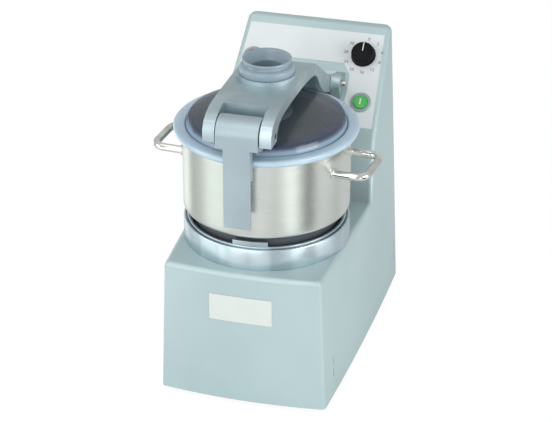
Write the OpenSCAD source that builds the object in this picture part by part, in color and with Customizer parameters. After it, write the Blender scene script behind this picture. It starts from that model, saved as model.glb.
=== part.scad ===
// Vertical cutter mixer for the table top: a casing with a motor under the bowl seat,
// a raised column with the controls, a steel bowl with two handles, a blade on the motor
// shaft, and a clear lid on a cast arm that is hinged to the column and latched in front.
// Millimetres. X is the width, Y runs from front to back, Z is up from the table.

/* [Casing] */
// Width across the front corners at the bottom edge
case_front_w = 295; // [270:1:310]
// Greatest width at the bottom edge
case_max_w = 316; // [312:1:340]
// Distance from the front corners back to the greatest width
case_max_y = 390; // [300:5:450]
// Width across the front corners at the top of the base box
box_front_w = 276; // [262:1:292]
// Width at the top of the base box where the column starts
box_ridge_w = 312; // [300:1:316]
// Distance from the front corners to that wide place
box_ridge_y = 300; // [290:1:320]
// Width at the same height at the back
box_back_w = 293; // [280:1:308]
// Width of the column along its top front edge
column_top_w = 271; // [260:1:290]
// Depth of the casing from its front corners to its back
case_depth = 519; // [519:1:545]
// How far the front bows out in its middle
case_bow = 10.7; // [0:0.1:20]
// Height of the top of the base box above the table
box_top_h = 257; // [235:1:270]
// Height of the top front edge of the column above the base box
column_rise = 257; // [240:1:275]
// Rise of the column top from its front edge to its back
column_crown = 5; // [0:1:10]
// Distance from the front corners to the foot of the column wall
column_foot_y = 303; // [301:1:320]
// Distance from the front corners to the knee under the panel
column_knee_y = 336; // [325:1:350]
// Height of the knee under the panel above the base box
knee_rise = 103; // [90:1:118]
// Distance from the front corners to the top of the panel
column_top_y = 499; // [480:1:499]
// Sheet thickness
case_wall = 2.5; // [1.5:0.1:4]
// Radius of the long edges
case_edge_r = 9; // [5:0.5:12]
// Radius of the front corners in plan
case_front_r = 5; // [3:0.5:10]
// Radius of the rear corners in plan
case_back_r = 14; // [12:0.5:14]

/* [Base and feet] */
// Height of the feet
foot_h = 8; // [5:0.5:20]
// Diameter of a foot
foot_d = 34; // [20:1:50]
// Distance of the feet from the sides and ends of the casing
foot_inset = 42; // [34:1:60]
// Thickness of the base plate
base_t = 2.5; // [1.5:0.1:5]
// Length of a cooling slot in the base plate
vent_l = 70; // [40:1:90]
// Width of a cooling slot
vent_w = 6; // [4:0.5:9]
// Number of cooling slots
vent_count = 7; // [3:1:9]

/* [Bowl seat] */
// Distance from the front corners to the axis of the bowl and motor
bowl_y = 152.2; // [150:0.1:155]
// Radius of the seat ring
seat_r = 144; // [140:0.5:146]
// Height of the seat ring
seat_h = 38.5; // [30:0.5:45]
// Thickness of the seat ring wall
seat_wall = 12; // [8:0.5:16]
// Thickness of the seat floor
seat_floor = 8; // [5:0.5:12]
// Radius of the hole in the seat for the motor spigot
seat_bore_r = 42; // [38:0.5:48]
// Width of a locating lug
lug_w = 62; // [30:1:70]
// Height of a locating lug
lug_h = 9; // [5:0.5:11]

/* [Bowl] */
// Outer radius of the bowl
bowl_r = 143.9; // [140:0.1:144.5]
// Height of the bowl from its bottom to its rim
bowl_h = 139.5; // [130:0.5:150]
// Gap between the seat ring and the bottom of the bowl
bowl_gap = 20.5; // [14:0.5:24]
// Sheet thickness of the bowl
bowl_wall = 1.8; // [1:0.1:3]
// Radius of the bottom corner
bowl_corner_r = 7; // [4:0.5:12]
// Width of the turned rim
bowl_rim_w = 5.5; // [3:0.5:6.5]
// Outer radius of the tube in the middle of the bowl
tube_r = 19.5; // [18:0.5:22]
// Height of that tube
tube_h = 62; // [40:1:80]

/* [Bowl handles] */
// Diameter of the handle rod
handle_d = 13.5; // [8:0.5:16]
// Distance from the bowl axis to the outer bar
handle_reach = 191; // [180:1:205]
// Distance between the two legs
handle_gap = 92; // [80:1:110]
// Radius of the handle bends
handle_bend_r = 20; // [14:1:30]
// Depth of the handles below the bowl rim
handle_drop = 43; // [30:1:60]
// Turn of the handles about the bowl axis, towards the front on the right
handle_turn = 4; // [0:0.5:8]

/* [Lid] */
// Outer radius of the lid seal
seal_r = 158.6; // [155:0.1:160]
// Height of the lid seal
seal_h = 12; // [11:0.5:14]
// Radius of the lid flange
lid_flange_r = 151; // [149:0.5:152]
// Radius of the lid wall at its foot
lid_wall_r = 137; // [134:0.5:138]
// Height of the lid shoulder above the seal
lid_wall_h = 14; // [10:0.5:18]
// Rise of the lid top from its shoulder to its neck
lid_rise = 15; // [10:0.5:18]
// Thickness of the lid
lid_t = 4; // [3:0.5:5]
// Height of the neck round the funnel
neck_h = 9; // [6:0.5:12]

/* [Funnel] */
// Distance of the funnel behind the bowl axis
funnel_offset = 3; // [0:0.5:6]
// Radius of the funnel rim
funnel_rim_r = 42; // [39:0.5:45]
// Height of the funnel rim above its collar
funnel_rim_h = 10.9; // [9:0.1:14]
// Depth of the dish in the funnel's mouth
funnel_dish_h = 16; // [12:0.5:19]
// Radius of the throat
funnel_throat_r = 28; // [24:0.5:29]
// Outer radius of the funnel tube
funnel_tube_r = 34; // [31:0.5:35]
// Radius of the collar
funnel_collar_r = 47; // [44:0.5:50]
// Height of the collar
funnel_collar_h = 14; // [10:0.5:16]

/* [Arm] */
// Width of the arm
arm_w = 116; // [108:1:120]
// Height of the top of the arm above the lid's neck
arm_rise = 45.2; // [42:0.1:50]
// How far the fork stands in front of the front corners
fork_reach = 22; // [18:0.5:26]
// Width of each fork leg
fork_leg_w = 20; // [14:0.5:24]
// Depth of the fork legs' lower ends below the lever's pivot
fork_drop = 12; // [9:0.5:15]
// Thickness of the arm's top plate
arm_plate_t = 8; // [6:0.5:12]
// Thickness of the arm's side walls
arm_side_t = 9; // [6:0.5:14]
// Distance from the front corners to the back of the fork window
window_back_y = 33; // [31:0.5:40]
// Radius of the boss round the funnel
boss_r = 51; // [48:0.5:56]
// Height of that boss above the arm
boss_h = 8; // [4:0.5:9]

/* [Arm hinge] */
// Distance of the hinge axis below the top of the panel, along it
hinge_v = 122.86; // [116:0.01:126]
// Gap between the arm's barrel and the panel
barrel_gap = 2.53; // [2:0.01:4]
// Radius of the barrel on the arm
barrel_r = 14.5; // [12:0.5:15.5]
// Length of the barrel
barrel_l = 102; // [90:1:106]
// Radius of the hinge pin
hinge_pin_r = 6; // [4:0.5:8]
// Thickness of a hinge lug
hinge_lug_t = 17; // [10:0.5:20]
// Length of the lug's foot along the panel
hinge_foot_l = 58; // [40:1:70]
// How far the pin stands out of the right lug
hinge_pin_reach = 8; // [4:0.5:12]

/* [Latch lever] */
// Distance from the front corners to the lever's pivot
latch_y = 3; // [1:0.5:5]
// Depth of the lever's pivot below the top of the arm
latch_depth = 37; // [35:0.5:39]
// Radius of the lever's pivot pin
latch_pin_r = 5; // [3:0.5:7]
// Radius of the lever's rounded head
latch_head_r = 28; // [24:0.5:29]
// Width of the lever's head
latch_head_w = 72; // [60:0.5:75]
// Width of the lever's blade
latch_blade_w = 46; // [38:0.5:52]
// Length of the lever below its pivot
lever_l = 163; // [150:1:172]
// Length of the wide head below the pivot
latch_tee_l = 20; // [16:0.5:26]
// Sheet thickness of the lever
latch_t = 4; // [2:0.5:6]
// Depth of the lever's side ribs
latch_rib = 15; // [8:0.5:16]
// Length of the side ribs below the pivot
latch_rib_l = 76; // [64:1:90]
// Width of the catch on the bowl
catch_w = 34; // [20:1:38]

/* [Controls] */
// Thickness of the printed overlay on the panel
overlay_t = 0.8; // [0.4:0.1:1.5]
// Margin between the overlay and the panel's side edges
overlay_margin = 10; // [8:0.5:14]
// Radius of the speed knob
knob_r = 22.5; // [18:0.5:25]
// Height of the speed knob
knob_h = 16; // [10:0.5:22]
// Distance of the knob from the middle
knob_x = 95; // [90:1:100]
// Distance of the knob below the top of the panel
knob_v = 57; // [50:1:65]
// Distance of the start button from the middle
start_x = 107; // [104:1:112]
// Distance of the start button below the top of the panel
start_v = 149; // [130:1:160]
// Distance of the stop button from the middle
stop_x = 108; // [104:1:112]
// Distance of the stop button below the top of the panel
stop_v = 82; // [75:1:100]
// Radius of a button
button_r = 13; // [10:0.5:14]
// Radius of a button bezel
bezel_r = 19; // [17:0.5:20]
// Height of a button bezel
bezel_h = 3; // [1.5:0.5:5]
// How far a button stands out of its bezel
button_proud = 3; // [2.5:0.5:5]
// Travel of a button
button_travel = 2.5; // [1:0.5:3]
// Radius of the stems behind knob and buttons
stem_r = 3; // [2:0.5:4]
// Width of the name plate
plate_w = 110; // [90:1:130]
// Height of the name plate
plate_h = 49; // [40:1:60]
// Depth of the middle of the name plate below the top of the base box
plate_drop = 68; // [56:1:85]

/* [Motor] */
// Radius of the motor body
motor_r = 92; // [80:1:100]
// Radius of the rotor
rotor_r = 58; // [50:1:64]
// Air gap between rotor and stator
air_gap = 1.2; // [0.8:0.1:2]
// Length of the stator
stator_l = 140; // [110:1:150]
// Height of the lower motor shield
shield_h = 14; // [10:0.5:18]
// Radius of the motor shaft
shaft_r = 12.5; // [10:0.5:14]
// Radius of the bearings
bearing_r = 26; // [24:0.5:30]
// Width of a bearing
bearing_w = 15; // [12:0.5:18]
// Radius of the cooling fan
fan_r = 78; // [60:1:85]
// Number of fan blades
fan_count = 9; // [5:1:13]

/* [Cutter] */
// Outer radius of the blade hub at its foot
hub_r = 33; // [30:0.5:36]
// Outer radius of the blade hub at its top
hub_top_r = 26; // [24:0.5:28]
// Height of the blade hub
hub_h = 98; // [90:1:105]
// Reach of the lower blade from the axis
blade_reach = 135; // [120:1:136]
// Reach of the upper blade from the axis
upper_reach = 118; // [100:1:135]
// Thickness of a blade
blade_t = 3; // [2:0.5:4]
// Width of a blade at its root
blade_w = 30; // [24:1:32]
// Height of the upper blade above the lower blade
blade_step = 44; // [30:1:50]

/* [Inside the column] */
// Width of the speed controller
drive_w = 150; // [100:1:180]
// Depth of the speed controller
drive_d = 62; // [40:1:80]
// Height of the speed controller
drive_h = 190; // [120:1:210]
// Number of cooling fins on the speed controller
drive_fins = 9; // [5:1:12]
// Width of the rear cover
cover_w = 200; // [160:1:220]
// Height of the rear cover
cover_h = 330; // [260:1:350]
// Thickness of the rear cover
cover_t = 1.5; // [1:0.1:3]
// Radius of the cable gland
gland_r = 11; // [8:0.5:14]
// How far the cable gland stands out at the back
gland_reach = 12; // [8:0.5:20]

/* [Hidden] */

// Overrun of a cut past the surface it goes through
over = 1;
// Clearance of a turning or sliding fit, on the radius
fit = 0.05;
// Clearance between pieces that lie against each other
seat_fit = 0.1;
// Clearance between pieces that move past each other
free_fit = 0.3;
// Finest and coarser number of facets round a circle
fine = 128;
round_n = 64;

// The casing's front corners, with the origin in the middle of the whole part's depth
latch_front = latch_head_r - latch_y;
front_y = (latch_front - case_depth - gland_reach) / 2;
axis_y = front_y + bowl_y;
back_y = front_y + case_depth;

// Heights that follow from the sizes above
column_h = box_top_h + column_rise;
column_knee_h = box_top_h + knee_rise;
plate_mid_h = box_top_h - plate_drop;
seat_z = box_top_h + seat_fit;
seat_top = box_top_h + seat_h;
skirt_z = seat_z + seat_floor;
bowl_z = seat_top + bowl_gap;
rim_z = bowl_z + bowl_h;
seal_z = rim_z + free_fit;
seal_top = seal_z + seal_h;
shoulder_z = seal_top + lid_wall_h;
dome_z = shoulder_z + lid_rise;
neck_top = dome_z + neck_h;
arm_top_h = neck_top + arm_rise;
funnel_top_h = arm_top_h + boss_h + seat_fit + funnel_collar_h + funnel_rim_h;
latch_h = arm_top_h - latch_depth;
latch_tee_h = latch_h - latch_tee_l;
latch_rib_h = latch_h - latch_rib_l;
latch_end_h = latch_h - lever_l;
fork_end_h = latch_h - fork_drop;

// Half width of the casing at a place and a height, between three outlines
function low_w(y) = case_max_w / 2
    - (case_max_w - case_front_w) / 2 * pow((case_max_y - y) / case_max_y, 2);
function soft_min(a, b, k) = (a + b - sqrt(pow(a - b, 2) + k * k)) / 2;
// How softly the two sides of the ridge in the casing's sides meet
ridge_soft = 6;
function mid_w(y) = soft_min(
    box_front_w / 2 + (box_ridge_w - box_front_w) / 2 * y / box_ridge_y,
    box_back_w / 2 + (box_ridge_w - box_back_w) / 2 * (case_depth - y) / (case_depth - box_ridge_y),
    ridge_soft);
// How much the column widens towards its front, for each millimetre
column_flare_share = 0.025;
function top_w(y) = column_top_w / 2 + column_flare_share * (column_top_y - y);
function half_w(y, z) = z < box_top_h
    ? low_w(y) + (mid_w(y) - low_w(y)) * (z - foot_h) / (box_top_h - foot_h)
    : mid_w(y) + (top_w(y) - mid_w(y)) * (z - box_top_h) / (column_h - box_top_h);

// The panel's lean from the vertical, and the hinge axis in front of it
panel_lean = atan((column_top_y - column_knee_y) / (column_h - column_knee_h));
hinge_out = barrel_r + barrel_gap;
hinge_y = column_top_y - hinge_v * sin(panel_lean) - hinge_out * cos(panel_lean);
hinge_h = column_h - hinge_v * cos(panel_lean) + hinge_out * sin(panel_lean);
function panel_w(v) = half_w(column_top_y - v * sin(panel_lean), column_h - v * cos(panel_lean));

// Places its children on the panel, v below its top edge, with Z square to the panel
module on_panel(x, v, out) {
    translate([0, front_y + column_top_y, column_h]) rotate([90 - panel_lean, 0, 0])
        translate([x, -v, out]) children();
}

// Extrudes a side view, drawn with Y to the right and Z up, across the width
module across(w) {
    rotate([90, 0, 90]) translate([0, 0, -w / 2]) linear_extrude(w) children();
}

// A bar along X, centred on the middle plane
module cross_bar(y, z, r, l) {
    translate([-l / 2, y, z]) rotate([0, 90, 0]) cylinder(r = r, h = l, $fn = round_n);
}

// A plain tube standing on its lower end
module tube(outer, inner, h, n = fine) {
    difference() {
        cylinder(r = outer, h = h, $fn = n);
        translate([0, 0, -over]) cylinder(r = inner, h = h + 2 * over, $fn = n);
    }
}

// The casing's top line in side view, from the box up the wall and the panel to the back
top_line = [[-case_depth, box_top_h], [column_foot_y, box_top_h], [column_knee_y, column_knee_h],
    [column_top_y, column_h], [2 * case_depth - column_top_y, column_h + 2 * column_crown]];
function line_side(a, b) = [a[1] - b[1], b[0] - a[0]] / norm(b - a);
function moved_in(i, t) =
    let (a = line_side(top_line[i - 1], top_line[i]), b = line_side(top_line[i], top_line[i + 1]))
    top_line[i] - t * (a + b) / (1 + a * b);

// One half of a ring round the casing, from the front middle to the back, with the skin moved
// in and the top edge turned over by an angle; stage 0 lies at the bottom and 1 half way up
front_steps = 8;
side_steps = 4;
panel_steps = 3;
half_way_share = 0.6;
function bow_at(x, w) = -case_bow * (1 - pow(x / w, 2));
function ring_z(z, stage, low) = stage == 0 ? low
    : stage > 1 ? z : z < box_top_h ? box_top_h * half_way_share : box_top_h;
function half_ring(in, turn, stage, low) =
    let (ix = in + case_edge_r * (1 - cos(turn)), t = in + case_edge_r * (1 - sin(turn)),
        b = [for (i = [1:3]) moved_in(i, t)],
        back_r = max(case_back_r - ix, over),
        y0 = case_front_r + ix, y1 = case_depth - ix - back_r,
        z0 = ring_z(box_top_h - t, stage, low), w = half_w(0, z0),
        side = concat(
            [for (i = [1:side_steps]) [y0 + (b[0][0] - y0) * i / side_steps, box_top_h - t, 0]],
            [[(b[0][0] + b[1][0]) / 2, (b[0][1] + b[1][1]) / 2, 0], [b[1][0], b[1][1], 0]],
            [for (i = [1:panel_steps]) let (p = b[1] + (b[2] - b[1]) * i / panel_steps)
                [p[0], p[1], 0]],
            [for (q = [0:30:90]) let (y = y1 + back_r * sin(q))
                [y, b[2][1] + (y - b[2][0]) * column_crown / (case_depth - column_top_y),
                    back_r * (1 - cos(q))]]))
    concat(
        [for (i = [0:front_steps]) let (x = (w - ix - case_front_r) * i / front_steps)
            [x, bow_at(x, w) + ix, z0]],
        [for (q = [30:30:90]) [w - ix - case_front_r * (1 - sin(q)), y0 - case_front_r * cos(q), z0]],
        [for (p = side) let (z = ring_z(p[1], stage, low)) [half_w(p[0], z) - ix - p[2], p[0], z]]);
function whole_ring(h) = concat(h, [for (i = [len(h) - 1:-1:1]) [-h[i][0], h[i][1], h[i][2]]]);

// The folded shell of the casing, open at the bottom: its outer skin, its inner skin and the
// rim between them. The last two terms of each face list close the top from side to side.
module casing_shell() {
    rings = [for (in = [0, case_wall]) concat(
        [whole_ring(half_ring(in, 0, 0, foot_h)), whole_ring(half_ring(in, 0, 1, foot_h))],
        [for (turn = [0:30:90]) whole_ring(half_ring(in, turn, 2, foot_h))])];
    n = len(rings[0][0]);
    k = len(rings[0]);
    m = (n - 1) / 2;
    skin = concat(
        [for (r = [0:k - 2], i = [0:n - 1]) let (a = r * n) [a + i, a + n + i, a + n + (i + 1) % n]],
        [for (r = [0:k - 2], i = [0:n - 1]) let (a = r * n)
            [a + i, a + n + (i + 1) % n, a + (i + 1) % n]],
        [for (i = [1:m - 1]) let (a = (k - 1) * n) [a + i, a + n - i, a + n - i - 1]],
        [for (i = [0:m - 1]) let (a = (k - 1) * n) [a + i, a + n - i - 1, a + i + 1]]);
    translate([0, front_y, 0]) polyhedron(
        points = [for (s = rings) for (r = s) for (p = r) p],
        faces = concat(skin,
            [for (f = skin) [f[2] + k * n, f[1] + k * n, f[0] + k * n]],
            [for (i = [0:n - 1]) [i, (i + 1) % n, k * n + (i + 1) % n]],
            [for (i = [0:n - 1]) [i, k * n + (i + 1) % n, k * n + i]]));
}

// Punched slots low on both sides, in two pairs on each
slot_h = 17;
slot_step = 25;
slot_w = 2.5;
side_slot_y_share = 0.1;
side_slot_back_share = 0.94;
side_slot_h = 44;

opening_margin = 12;
cover_clear = 92;
cover_mid_h = foot_h + cover_clear + cover_h / 2;
gland_x = -110;
gland_h = 60;
gland_neck = 3;

module casing() {
    color([0.71, 0.77, 0.78]) difference() {
        casing_shell();
        translate([0, axis_y, box_top_h - case_wall - over])
            cylinder(r = seat_bore_r + free_fit, h = case_wall + 2 * over, $fn = fine);
        on_panel(knob_x, knob_v, -case_wall - case_edge_r)
            cylinder(r = stem_r + free_fit, h = case_wall + 2 * case_edge_r, $fn = round_n);
        for (b = [[start_x, start_v], [-stop_x, stop_v]])
            on_panel(b[0], b[1], -case_wall - over)
                cylinder(r = button_r + free_fit, h = case_wall + 2 * over, $fn = round_n);
        translate([-cover_w / 2 + opening_margin, back_y - case_wall - over,
            cover_mid_h - cover_h / 2 + opening_margin])
            cube([cover_w - 2 * opening_margin, case_wall + 2 * over, cover_h - 2 * opening_margin]);
        translate([gland_x, back_y + over, gland_h]) rotate([90, 0, 0])
            cylinder(r = gland_r - gland_neck + seat_fit, h = case_wall + 2 * over, $fn = round_n);
        for (s = [side_slot_y_share, side_slot_back_share], k = [0, 1])
            translate([-case_max_w, front_y + case_depth * s, side_slot_h + slot_step * k])
                cube([2 * case_max_w, slot_w, slot_h]);
        for (p = cover_screw_places()) translate([p[0], back_y + over, p[1]]) rotate([90, 0, 0])
            cylinder(r = screw_r + seat_fit, h = case_wall + 2 * over, $fn = round_n);
    }
}

// The plate that closes the casing underneath, with cooling slots under the fan
module base_plate() {
    gap = case_wall + 2 * seat_fit;
    color([0.45, 0.47, 0.48]) difference() {
        translate([0, front_y, foot_h]) linear_extrude(base_t)
            polygon([for (p = whole_ring(half_ring(gap, 0, 0, foot_h))) [p[0], p[1]]]);
        for (i = [0:vent_count - 1], s = [-1, 1])
            translate([s * (vent_l / 2 + vent_w) - vent_l / 2,
                axis_y + (i - (vent_count - 1) / 2) * 2 * vent_w - vent_w / 2, foot_h - over])
                cube([vent_l, vent_w, base_t + 2 * over]);
        for (p = foot_places()) translate([p[0], p[1], foot_h - over])
            cylinder(r = screw_r + seat_fit, h = base_t + 2 * over, $fn = round_n);
    }
}

// Four rubber feet, each held by a screw with a nut inside
screw_r = 2.5;
nut_r = 4.5;
nut_h = 4;
foot_taper = 2;
function foot_places() = [for (sx = [-1, 1], y = [foot_inset, case_depth - foot_inset])
    [sx * (low_w(y) - foot_inset), front_y + y]];
module rubber_feet() {
    color([0.12, 0.12, 0.13]) for (p = foot_places()) translate([p[0], p[1], 0]) difference() {
        cylinder(r1 = foot_d / 2 - foot_taper, r2 = foot_d / 2, h = foot_h, $fn = round_n);
        translate([0, 0, foot_taper]) cylinder(r = screw_r + seat_fit, h = foot_h, $fn = round_n);
    }
}
module foot_screws() {
    color([0.7, 0.7, 0.72]) for (p = foot_places()) translate([p[0], p[1], 0]) {
        translate([0, 0, foot_taper + seat_fit])
            cylinder(r = screw_r, h = foot_h + base_t + nut_h - foot_taper, $fn = round_n);
        translate([0, 0, foot_h + base_t]) cylinder(r = nut_r, h = nut_h, $fn = 6);
    }
}

// The printed overlay on the panel, cut out round the hinge
overlay_top_v = 13;
overlay_end_v = 197;
notch_v = 76;
notch_slope_v = 22;
notch_half_w = 62;
notch_slope_w = 15;
module control_overlay() {
    top_x = panel_w(overlay_top_v) - overlay_margin;
    end_x = panel_w(overlay_end_v) - overlay_margin;
    half = [[notch_half_w, -notch_v], [notch_half_w + notch_slope_w, -notch_v - notch_slope_v],
        [notch_half_w + notch_slope_w, -overlay_end_v], [end_x, -overlay_end_v],
        [top_x, -overlay_top_v]];
    color([0.9, 0.92, 0.91]) difference() {
        on_panel(0, 0, 0) linear_extrude(overlay_t)
            polygon(concat(half, [for (i = [len(half) - 1:-1:0]) [-half[i][0], half[i][1]]]));
        on_panel(knob_x, knob_v, -over)
            cylinder(r = stem_r + free_fit, h = overlay_t + 2 * over, $fn = round_n);
        for (b = [[start_x, start_v], [-stop_x, stop_v]]) on_panel(b[0], b[1], -over)
            cylinder(r = button_r + free_fit, h = overlay_t + 2 * over, $fn = round_n);
    }
}

// The bare plate on the bowed front
plate_t = 1.2;
module name_plate() {
    w = half_w(0, plate_mid_h);
    xs = [for (i = [-front_steps:front_steps]) plate_w / 2 * i / front_steps];
    color([0.9, 0.92, 0.9]) translate([0, front_y, plate_mid_h - plate_h / 2])
        linear_extrude(plate_h) polygon(concat(
            [for (x = xs) [x, bow_at(x, w) - seat_fit]],
            [for (i = [len(xs) - 1:-1:0]) [xs[i], bow_at(xs[i], w) - seat_fit - plate_t]]));
}

// The cast seat ring for the bowl, its lugs and the thin gasket under it
seat_lip = 4.5;
seat_groove_w = 2;
seat_groove_d = 5;
seat_step_h = 3;
seat_edge = 1;
module seat_gasket() {
    color([0.1, 0.1, 0.1]) translate([0, axis_y, box_top_h])
        tube(seat_r - case_edge_r, seat_bore_r + seat_groove_w, seat_fit);
}
module seat_ring() {
    r1 = seat_r - seat_lip;
    r2 = r1 - seat_groove_w;
    color([0.72, 0.75, 0.78]) translate([0, axis_y, 0]) rotate_extrude($fn = fine) polygon([
        [seat_bore_r, seat_z], [seat_r, seat_z], [seat_r, seat_top - seat_edge],
        [seat_r - seat_edge, seat_top], [r1, seat_top], [r1, seat_top - seat_groove_d],
        [r2, seat_top - seat_groove_d], [r2, seat_top + seat_step_h],
        [seat_r - seat_wall, seat_top + seat_step_h], [seat_r - seat_wall, skirt_z],
        [seat_bore_r, skirt_z]]);
}
lug_turn = 4;
lug_count = 3;
module locating_lugs() {
    r2 = seat_r - seat_lip - seat_groove_w;
    angle = lug_w / r2 * 180 / PI;
    color([0.6, 0.64, 0.66]) translate([0, axis_y, seat_top + seat_step_h])
        for (i = [0:lug_count - 1]) rotate([0, 0, -90 + lug_turn + 360 / lug_count * i - angle / 2])
            rotate_extrude(angle = angle, $fn = fine)
                translate([seat_r - seat_wall, 0]) square([r2 - seat_r + seat_wall, lug_h]);
}

// The motor: flange with spigot, body, winding, lower shield, bearings and seal
flange_t = 12;
flange_lap = 10;
body_wall = 7;
coil_l = 12;
seal_pocket_r = 20;
seal_h0 = 5;
shaft_gap = 2;
flange_z = box_top_h - case_wall - flange_t;
motor_z = flange_z - stator_l - 2 * coil_l;
shield_z = motor_z - shield_h;
module motor_flange() {
    top = box_top_h - case_wall;
    pocket = flange_z + bearing_w;
    spigot = seat_bore_r - seat_fit;
    color([0.6, 0.62, 0.64]) translate([0, axis_y, 0]) rotate_extrude($fn = fine) polygon([
        [bearing_r + fit, flange_z], [motor_r + flange_lap, flange_z], [motor_r + flange_lap, top],
        [spigot, top], [spigot, skirt_z], [seal_pocket_r + fit, skirt_z],
        [seal_pocket_r + fit, skirt_z - seal_h0], [shaft_r + shaft_gap, skirt_z - seal_h0],
        [shaft_r + shaft_gap, pocket], [bearing_r + fit, pocket]]);
}
module motor_body() {
    color([0.35, 0.4, 0.45]) translate([0, axis_y, motor_z])
        tube(motor_r, motor_r - body_wall, flange_z - motor_z);
}
module stator_winding() {
    color([0.55, 0.4, 0.25]) translate([0, axis_y, motor_z + coil_l])
        tube(motor_r - body_wall - seat_fit, rotor_r + air_gap, stator_l);
}
module lower_shield() {
    pocket = motor_z - bearing_w + shaft_gap;
    color([0.6, 0.62, 0.64]) translate([0, axis_y, 0]) rotate_extrude($fn = fine) polygon([
        [shaft_r + shaft_gap, shield_z - shaft_gap], [bearing_r + body_wall, shield_z - shaft_gap],
        [bearing_r + body_wall, shield_z], [motor_r, shield_z], [motor_r, motor_z],
        [bearing_r + fit, motor_z], [bearing_r + fit, pocket], [shaft_r + shaft_gap, pocket]]);
}
module bearing(z) {
    color([0.8, 0.81, 0.82]) translate([0, axis_y, z]) tube(bearing_r, shaft_r + fit, bearing_w);
}
module upper_bearing() { bearing(flange_z); }
module lower_bearing() { bearing(motor_z - bearing_w + shaft_gap); }
module shaft_seal() {
    color([0.15, 0.15, 0.16]) translate([0, axis_y, skirt_z - seal_h0])
        tube(seal_pocket_r, shaft_r + fit, seal_h0);
}

// What turns with the motor: shaft, rotor, fan and the cutter on the shaft
fan_drop = 18;
fan_h = 12;
fan_disc_t = 2;
fan_hub_r = 20;
hub_lift = 3;
hub_z = bowl_z + bowl_wall + hub_lift;
shaft_top = hub_z + hub_h - shaft_r;
module motor_shaft() {
    z0 = shield_z - fan_drop - fan_disc_t;
    color([0.78, 0.79, 0.8]) translate([0, axis_y, z0])
        cylinder(r = shaft_r, h = shaft_top - z0, $fn = fine);
}
module rotor_core() {
    color([0.5, 0.5, 0.52]) translate([0, axis_y, motor_z + coil_l])
        tube(rotor_r, shaft_r + seat_fit, stator_l);
}
module cooling_fan() {
    z = shield_z - fan_drop;
    inner = shaft_r + seat_fit;
    color([0.2, 0.22, 0.24]) translate([0, axis_y, z]) {
        tube(fan_r, inner, fan_disc_t);
        tube(fan_hub_r, inner, fan_h);
        for (i = [0:fan_count - 1]) rotate([0, 0, 360 / fan_count * i])
            translate([fan_hub_r - fan_disc_t, -fan_disc_t / 2, fan_disc_t / 2])
                cube([fan_r - fan_hub_r, fan_disc_t, fan_h - fan_disc_t / 2]);
    }
}
hub_flange_w = 7;
hub_flange_h = 4;
tube_gap = 1.5;
module blade_hub() {
    neck = hub_flange_h + blade_t + blade_step + blade_t;
    bore_h = tube_h + hub_flange_h;
    color([0.25, 0.27, 0.3]) translate([0, axis_y, hub_z]) difference() {
        union() {
            cylinder(r = hub_r + hub_flange_w, h = hub_flange_h, $fn = fine);
            cylinder(r = hub_r, h = neck, $fn = fine);
            translate([0, 0, neck]) cylinder(r1 = hub_r, r2 = hub_top_r, h = hub_h - neck, $fn = fine);
        }
        translate([0, 0, -over]) cylinder(r = tube_r + tube_gap, h = bore_h + over, $fn = fine);
        translate([0, 0, -over]) cylinder(r = shaft_r + fit,
            h = shaft_top - hub_z + seat_fit + over, $fn = fine);
    }
}
// Outline of one wing of a blade, as shares of its reach and of its root width
wing_shares = [[0.1, 0.5], [0.3, 0.62], [0.55, 0.5], [0.8, 0.1], [0.94, -0.5], [1, -1.15],
    [0.9, -1.0], [0.72, -0.72], [0.5, -0.5], [0.3, -0.45], [0.1, -0.5]];
module blade(z, reach, turn) {
    color([0.82, 0.83, 0.84]) translate([0, axis_y, z]) rotate([0, 0, turn]) difference() {
        union() {
            cylinder(r = hub_r + hub_flange_w, h = blade_t, $fn = fine);
            for (a = [0, 180]) rotate([0, 0, a]) linear_extrude(blade_t)
                polygon([for (p = wing_shares) [reach * p[0], blade_w * p[1]]]);
        }
        translate([0, 0, -over]) cylinder(r = hub_r + seat_fit, h = blade_t + 2 * over, $fn = fine);
    }
}
blade_z = hub_z + hub_flange_h;
lower_angle = 20;
upper_angle = 80;
module lower_blade() { blade(blade_z, blade_reach, lower_angle); }
module upper_blade() { blade(blade_z + blade_step, upper_reach, upper_angle); }
module blade_spacer() {
    color([0.3, 0.32, 0.35]) translate([0, axis_y, blade_z + blade_t])
        tube(hub_r + hub_flange_w - tube_gap, hub_r + seat_fit, blade_step - blade_t);
}
cap_h = 22;
cap_r = 19;
module hub_cap() {
    color([0.15, 0.15, 0.17]) translate([0, axis_y, hub_z + hub_h]) {
        cylinder(r1 = cap_r, r2 = cap_r - foot_taper, h = cap_h, $fn = fine);
    }
}

// The steel bowl, the black skirt it stands on, the tube round the shaft
module bowl() {
    r = bowl_r;
    t = bowl_wall;
    c = bowl_corner_r;
    n = 6;
    color([0.8, 0.8, 0.77]) translate([0, axis_y, bowl_z]) rotate_extrude($fn = fine)
        polygon(concat(
            [[tube_r - bowl_wall, 0]],
            [for (i = [0:n]) [r - c + c * sin(90 / n * i), c - c * cos(90 / n * i)]],
            [[r, bowl_h - 2 * t], [r + bowl_rim_w, bowl_h - 2 * t], [r + bowl_rim_w, bowl_h],
                [r - t, bowl_h]],
            [for (i = [n:-1:0]) [r - c + (c - t) * sin(90 / n * i), c - (c - t) * cos(90 / n * i)]],
            [[tube_r - bowl_wall, t]]));
}
skirt_wall = 4;
skirt_in = 17;
module bowl_skirt() {
    color([0.08, 0.08, 0.09]) translate([0, axis_y, skirt_z])
        tube(bowl_r - skirt_in, bowl_r - skirt_in - skirt_wall, bowl_z - skirt_z);
}
module bowl_tube() {
    color([0.78, 0.78, 0.76]) translate([0, axis_y, bowl_z + bowl_wall])
        tube(tube_r, tube_r - bowl_wall, tube_h);
}

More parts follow.
